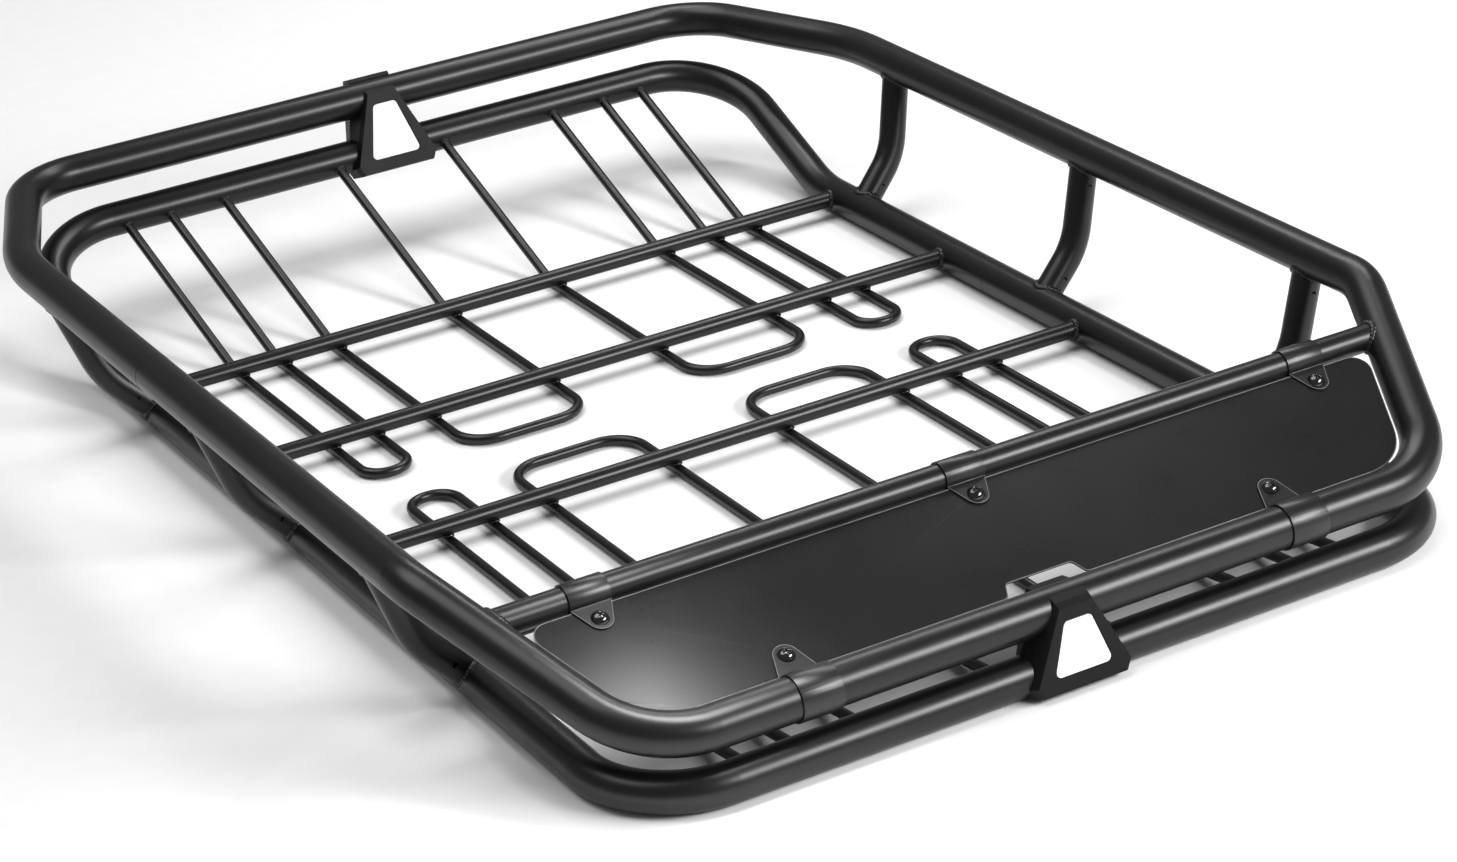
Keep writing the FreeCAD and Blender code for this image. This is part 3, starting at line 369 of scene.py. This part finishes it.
def seam_spots(foot, axis, radius, tube_at, tube_axis, tube_radius, steps):
    """Where a round bar's surface meets a round tube's, all the way round.

    Each spot is a point, the tube's outward direction there and the bar's."""
    first, second = square_to(axis)
    spots = []
    for angle in turns(steps):
        outward = first * math.cos(angle) + second * math.sin(angle)
        start = foot + outward * radius
        gap = start - tube_at
        gap = gap - tube_axis * gap.dot(tube_axis)
        lean = axis - tube_axis * axis.dot(tube_axis)
        # the bar's line meets the tube where a * reach ** 2 + 2 * b * reach + c is zero
        a = lean.dot(lean)
        b = gap.dot(lean)
        c = gap.dot(gap) - tube_radius * tube_radius
        reach = (-b + math.sqrt(max(b * b - a * c, 0.0))) / a
        point = start + axis * reach
        normal = point - tube_at
        normal = (normal - tube_axis * normal.dot(tube_axis)).normalized()
        spots.append((point, normal, outward))
    return spots


def weld_bead(builder, foot, axis, radius, tube_at, tube_axis, tube_radius, bead):
    """Rippled bead where a round bar lands on a round tube.

    axis points from the tube out along the bar."""
    ripples = max(LEAST_RIPPLES, round(2 * math.pi * radius / (RIPPLE_PITCH * bead)))
    steps = ripples * RIPPLE_STEPS
    spots = seam_spots(foot, axis.normalized(), radius, tube_at, tube_axis.normalized(),
                       tube_radius, steps)
    seed = foot * BEAD_SEED
    rings = []
    for at, angle in enumerate(turns(steps)):
        point, normal, outward = spots[at]
        ahead = (spots[(at + 1) % steps][0] - spots[at - 1][0]).normalized()
        face = (normal + outward).normalized()
        side = ahead.cross(face).normalized()
        walk = Vector((math.cos(angle), math.sin(angle), 0)) * BEAD_NOISE
        wobble = noise.noise(seed + walk)
        ripple = abs(math.sin(math.pi * at * ripples / steps))
        size = bead * (1.0 + WOBBLE * wobble + RIPPLE_HEIGHT * ripple)
        middle = point - face * bead * SINK
        ring = []
        for roll in turns(BEAD_POINTS):
            lead = LEAD * bead * max(math.cos(roll), 0.0)
            ring.append(middle + face * math.cos(roll) * size * TALL
                        + side * math.sin(roll) * size * WIDE + ahead * lead)
        rings.append(ring)
    closed_tube(builder, rings)


def tack(builder, spot, half):
    """Small lump of weld metal; half gives its half sizes."""
    made = bmesh.ops.create_icosphere(builder, subdivisions=3, radius=1.0)
    for vert in made["verts"]:
        lump = 1.0 + TACK_WOBBLE * noise.noise(vert.co * TACK_NOISE + spot * TACK_SEED)
        vert.co = Vector((vert.co.x * half[0], vert.co.y * half[1],
                          vert.co.z * half[2])) * lump + spot


def cross_bar_welds():
    """A bead at each end of a cross bar, and a tack each side of it at every rod leg."""
    bead = 2.5 * MM
    tack_half = (4.2 * MM, 2.6 * MM, 1.9 * MM)
    tack_out = 4.6 * MM
    tack_level = ROD_LEVEL + ROD_R + 0.7 * MM
    for place, at in CROSS_BARS.items():
        builder = bmesh.new()
        for hand in (-1, 1):
            foot = Vector((hand * (LOWER_SIDE - LOWER_R), at, CROSS_LEVEL))
            weld_bead(builder, foot, -hand * ACROSS, CROSS_R,
                      Vector((hand * LOWER_SIDE, 0, LOWER_LEVEL)), ALONG, LOWER_R, bead)
            for leg in LEGS["outer"] + LEGS["inner"]:
                for way in (-1, 1):
                    tack(builder, Vector((hand * leg, at + way * tack_out, tack_level)),
                         tack_half)
        finish_piece(place + "_cross_bar_welds", builder, "coated_steel")


def upright_welds():
    """A bead at the top and at the foot of each upright."""
    top_bead = 2.7 * MM
    foot_bead = 2.9 * MM
    for place, (top_at, foot_at) in UPRIGHTS.items():
        knee_at = top_at + KNEE_SHARE * (foot_at - top_at)
        for side, hand in HANDS:
            top = Vector((hand * UPPER_SIDE, top_at, UPPER_LEVEL))
            knee = Vector((hand * KNEE.x, knee_at, KNEE.z))
            foot = Vector((hand * LOWER_SIDE, foot_at, LOWER_LEVEL))
            builder = bmesh.new()
            weld_bead(builder, top, knee - top, UPRIGHT_R, top, ALONG, UPPER_R, top_bead)
            weld_bead(builder, foot, knee - foot, UPRIGHT_R, foot, ALONG, LOWER_R,
                      foot_bead)
            finish_piece("%s_%s_upright_welds" % (side, place), builder, "coated_steel")


def fairing_bar_welds():
    """A bead at each end of the fairing bar, where it lands on the sloping side tube."""
    bead = 2.8 * MM
    bend = Vector((UPPER_SIDE, UPPER_FRONT_BEND, UPPER_LEVEL))
    corner = Vector((UPPER_FRONT_CORNER, UPPER_FRONT.y, UPPER_FRONT.z))
    share = (bend.y - FAIRING_BAR.y) / (bend.y - corner.y)
    landing = bend + (corner - bend) * share
    builder = bmesh.new()
    for hand in (-1, 1):
        down = (corner - bend).normalized()
        down.x = down.x * hand
        tube_at = Vector((hand * landing.x, landing.y, landing.z))
        foot = Vector((hand * landing.x, FAIRING_BAR.y, FAIRING_BAR.z))
        weld_bead(builder, foot, -hand * ACROSS, FAIRING_R, tube_at, down, UPPER_R, bead)
    finish_piece("fairing_bar_welds", builder, "coated_steel")


def rod_welds():
    """A small bead where each leg of a rod lands on an end tube."""
    bead = 1.7 * MM
    halves = (("rear", REAR_END, ROD_KINK, REAR_SPREAD),
              ("front", FRONT_END, ROD_FRONT_KINK, 1.0))
    for loop, legs in LEGS.items():
        for side, hand in HANDS:
            for half, end, kink, spread in halves:
                builder = bmesh.new()
                for leg in legs:
                    tip = Vector((hand * leg * spread, end.y, end.z))
                    start = Vector((hand * leg, kink, ROD_LEVEL))
                    weld_bead(builder, tip, start - tip, ROD_R, end, ACROSS, LOWER_R, bead)
                finish_piece("%s_%s_%s_rod_welds" % (half, side, loop), builder,
                             "coated_steel")


cross_bar_welds()
upright_welds()
fairing_bar_welds()
rod_welds()


# ------------------------------------------------------------ hoop seams
def shut_lines():
    """A thin dark line round each seam of the hoops."""
    proud = 0.10 * MM
    half_width = 0.42 * MM
    steps = 96
    for place, side_at, level, seam, radius in (
            ("upper", UPPER_SIDE, UPPER_LEVEL, UPPER_SEAM, UPPER_R),
            ("lower", LOWER_SIDE, LOWER_LEVEL, LOWER_SEAM, LOWER_R)):
        for side, hand in HANDS:
            builder = bmesh.new()
            rings = []
            for angle in turns(steps):
                outward = Vector((math.cos(angle), 0, math.sin(angle)))
                middle = Vector((hand * side_at, seam, level)) + outward * radius
                rings.append([middle + outward * proud * math.cos(roll)
                              + ALONG * half_width * math.sin(roll)
                              for roll in turns(LINE_POINTS)])
            closed_tube(builder, rings)
            finish_piece("%s_%s_shut_line" % (place, side), builder, "coated_steel",
                         shut_line)


shut_lines()

# ------------------------------------------------------------ fairing screws
DOME = 8.0 * MM
DOME_RISE = 5.2 * MM
DOME_RINGS = 40
SPOKES = 96
CROSS_HALF = 0.55 * MM          # half width of an arm of the recess
CROSS_SIDE = 0.35 * MM          # width of the arm's sloping sides
CROSS_REACH = 3.2 * MM          # length of an arm
CROSS_END = 0.8 * MM            # length of its sloping end
CROSS_DEPTH = 1.9 * MM
SHANK = 2.5 * MM
SHANK_LENGTH = 10.6 * MM
CHAMFER = 0.4 * MM
TWIST = 7.0                     # radians for each metre off the middle


def fade(value, start, run):
    """1 up to the start, then down to 0 over the run."""
    return 1.0 - min(max((value - start) / run, 0.0), 1.0)


def dome_height(x, y):
    """Height of the domed head with its cross recess."""
    ball = (DOME * DOME + DOME_RISE * DOME_RISE) / (2 * DOME_RISE)
    out = math.hypot(x, y)
    height = math.sqrt(max(ball * ball - out * out, 0.0)) - (ball - DOME_RISE)
    arm = fade(min(abs(x), abs(y)), CROSS_HALF, CROSS_SIDE)
    return height - CROSS_DEPTH * arm * fade(out, CROSS_REACH, CROSS_END)


def domed_screw(builder, across, up):
    """One screw that stands square on a clip tab, each with its own twist."""
    foot = UPPER_FRONT + TO_SLOPE @ Vector((across, up, TAB_TOP))
    twist = Matrix.Rotation(TWIST * across, 3, "Z")

    def vertex(x, y, z):
        return builder.verts.new(foot + TO_SLOPE @ (twist @ Vector((x, y, z))))

    def ring(out, level=None):
        """Round of vertices, on the dome where no level is given."""
        made = []
        for angle in turns(SPOKES):
            x = out * math.cos(angle)
            y = out * math.sin(angle)
            made.append(vertex(x, y, dome_height(x, y) if level is None else level))
        return made

    top = vertex(0, 0, dome_height(0, 0))
    rings = [ring(DOME * at / DOME_RINGS) for at in range(1, DOME_RINGS + 1)]
    rings.append(ring(SHANK, 0.0))
    rings.append(ring(SHANK, CHAMFER - SHANK_LENGTH))
    rings.append(ring(SHANK - CHAMFER, -SHANK_LENGTH))
    for at in range(SPOKES):
        builder.faces.new((top, rings[0][at], rings[0][(at + 1) % SPOKES]))
    for before, after in zip(rings, rings[1:]):
        join_rings(builder, before, after)
    builder.faces.new(rings[-1])


def fairing_screws():
    """All the screws as one piece, which stands for the CAD's plain ones."""
    builder = bmesh.new()
    for place, across in CLIPS.items():
        on_bar = place.startswith("bar")
        up = SLOPE_LENGTH - BAR_CLIP_REACH if on_bar else RAIL_CLIP_REACH
        domed_screw(builder, across, up)
    screw_set = finish_piece("fairing_screw_set", builder, "black_screws")
    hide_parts("fairing_screws")


fairing_screws()

# ------------------------------------------------------------ painted highlight lines on the sheet edges
# A pale line along the sheared edges of the panel and of the clip tabs paints their edge
# highlight.
SAME_POINT = 0.002 * MM
SAME_LEVEL = 0.02 * MM
SHORTEST_EDGE = 30.0 * MM       # shorter outlines are screw holes
EDGE_STEP = 4.0 * MM
EDGE_WOBBLE = 0.18              # shares of the line's thickness
EDGE_SINK = 0.55
EDGE_NOISE = 90.0               # noise units for each metre
PANEL_EDGE = 0.55 * MM
CLIP_EDGE = 0.42 * MM


def top_outlines(name, level):
    """Closed outlines of a node's flat faces at one height over the fairing plane."""
    sheet = bmesh.new()
    sheet.from_mesh(nodes[name].data)
    bmesh.ops.remove_doubles(sheet, verts=sheet.verts, dist=SAME_POINT)
    flat = set()
    for face in sheet.faces:
        heights = [(vert.co - UPPER_FRONT).dot(OUT_OF_SLOPE) for vert in face.verts]
        if all(abs(height - level) < SAME_LEVEL for height in heights):
            flat.add(face)
    links = {}
    for edge in sheet.edges:
        if sum(face in flat for face in edge.link_faces) == 1:
            first, second = edge.verts
            links.setdefault(first, []).append(second)
            links.setdefault(second, []).append(first)
    loops = []
    while links:
        start = min(links, key=lambda vert: vert.index)
        loop = [start]
        previous = None
        here = start
        while True:
            ahead = [vert for vert in links.pop(here, []) if vert is not previous]
            ahead = [vert for vert in ahead if vert in links or vert is start]
            if not ahead or ahead[0] is start:
                break
            previous = here
            here = ahead[0]
            loop.append(here)
        loops.append([vert.co.copy() for vert in loop])
    sheet.free()
    return loops


def even_points(loop):
    """The same closed outline, with every side cut into equal short runs."""
    points = []
    for at, point in enumerate(loop):
        after = loop[(at + 1) % len(loop)]
        parts = max(1, round((after - point).length / EDGE_STEP))
        points.extend(point.lerp(after, part / parts) for part in range(parts))
    return points


def painted_highlight_edge(name, level, thick, slot):
    """A thin pale line of uneven thickness, half sunk in the edge: a painted highlight."""
    builder = bmesh.new()
    for loop in top_outlines(name, level):
        length = sum((loop[at] - loop[at - 1]).length for at in range(len(loop)))
        if length < SHORTEST_EDGE:
            continue
        points = even_points(loop)
        rings = []
        for at, point in enumerate(points):
            ahead = (points[(at + 1) % len(points)] - points[at - 1]).normalized()
            side = ahead.cross(OUT_OF_SLOPE).normalized()
            # width of the painted highlight line, uneven along the edge
            painted_width = thick * (1.0 + EDGE_WOBBLE * noise.noise(point * EDGE_NOISE))
            rings.append([point + OUT_OF_SLOPE * (painted_width * math.sin(roll) - EDGE_SINK * thick)
                          + side * painted_width * math.cos(roll) for roll in turns(LINE_POINTS)])
        closed_tube(builder, rings)
    finish_piece(name + "_edge", builder, slot, painted_edge_highlight)


# painted highlight lines round the panel and the clip tabs
painted_highlight_edge("fairing_panel", PANEL_TOP, PANEL_EDGE, "fairing_sheet")
for place in CLIPS:
    painted_highlight_edge(place + "_clip", TAB_TOP, CLIP_EDGE, "clip_sheet")


# ------------------------------------------------------------ stage
def lay_floor():
    """A wide pale floor just under the lower hoop."""
    half = 30.0
    mesh = bpy.data.meshes.new("floor")
    mesh.from_pydata([(-half, -half, 0), (half, -half, 0), (half, half, 0), (-half, half, 0)],
                     [], [(0, 1, 2, 3)])
    mesh.materials.append(floor_paper)
    floor = bpy.data.objects.new("floor", mesh)
    floor.location.z = cad_box[0][2] - 0.2 * MM
    bpy.context.scene.collection.objects.link(floor)


def even_light(strength):
    """Plain white light from all round."""
    world = bpy.data.worlds.new("studio")
    world.use_nodes = True
    background = world.node_tree.nodes["Background"]
    background.inputs["Color"].default_value = (1, 1, 1, 1)
    background.inputs["Strength"].default_value = strength
    bpy.context.scene.world = world


def lamp_thing(name, kind, at, toward, power):
    """A light at one spot, aimed at another."""
    lamp = bpy.data.lights.new(name, kind)
    lamp.energy = power
    thing = bpy.data.objects.new(name, lamp)
    thing.location = at
    aim = Vector(toward) - thing.location
    thing.rotation_euler = aim.to_track_quat("-Z", "Y").to_euler()
    bpy.context.scene.collection.objects.link(thing)
    return thing


def soft_box(name, at, toward, size, power, beam=180.0):
    """A flat rectangular light that the camera doesn't see; beam is in degrees."""
    thing = lamp_thing(name, "AREA", at, toward, power)
    thing.visible_camera = False
    thing.data.shape = "RECTANGLE"
    thing.data.size, thing.data.size_y = size
    thing.data.spread = math.radians(beam)


lay_floor()
even_light(strength=0.21)
ceiling = lamp_thing("ceiling", "SUN", at=(-0.55, 0.4, 1.9), toward=(0, 0, 0), power=1.6)
ceiling.data.angle = math.radians(45)
soft_box("top_strip", at=(1.0, 0.86, 1.68), toward=(0.1, 0.38, 0.1), size=(1.5, 0.30),
         power=14.5)
soft_box("front_strip", at=(1.25, -2.27, 1.36), toward=(0, -0.65, 0.07), size=(1.6, 0.62),
         power=46.0, beam=140.0)
soft_box("over_panel", at=(-0.21, -0.625, 0.50), toward=(-0.42, -0.70, 0.05),
         size=(0.24, 0.14), power=0.54, beam=75.0)


# ------------------------------------------------------------ camera
def photo_camera():
    """The photograph's viewpoint, as fitted to the hoops' straight rails and level ends."""
    seat = Vector((-1.541068, -2.936488, 1.513430))
    tilt, roll, heading = 65.1733, 4.17033, -30.40504
    lens = bpy.data.cameras.new("camera")
    lens.lens = 93.116
    lens.sensor_width = 36.0
    lens.sensor_fit = "HORIZONTAL"
    lens.clip_start = 0.01
    lens.clip_end = 200.0
    camera = bpy.data.objects.new("camera", lens)
    turn = Euler([math.radians(angle) for angle in (tilt, roll, heading)])
    camera.matrix_world = Matrix.LocRotScale(seat, turn, None)
    bpy.context.scene.collection.objects.link(camera)
    bpy.context.scene.camera = camera


photo_camera()
bpy.context.scene.view_settings.view_transform = "Standard"
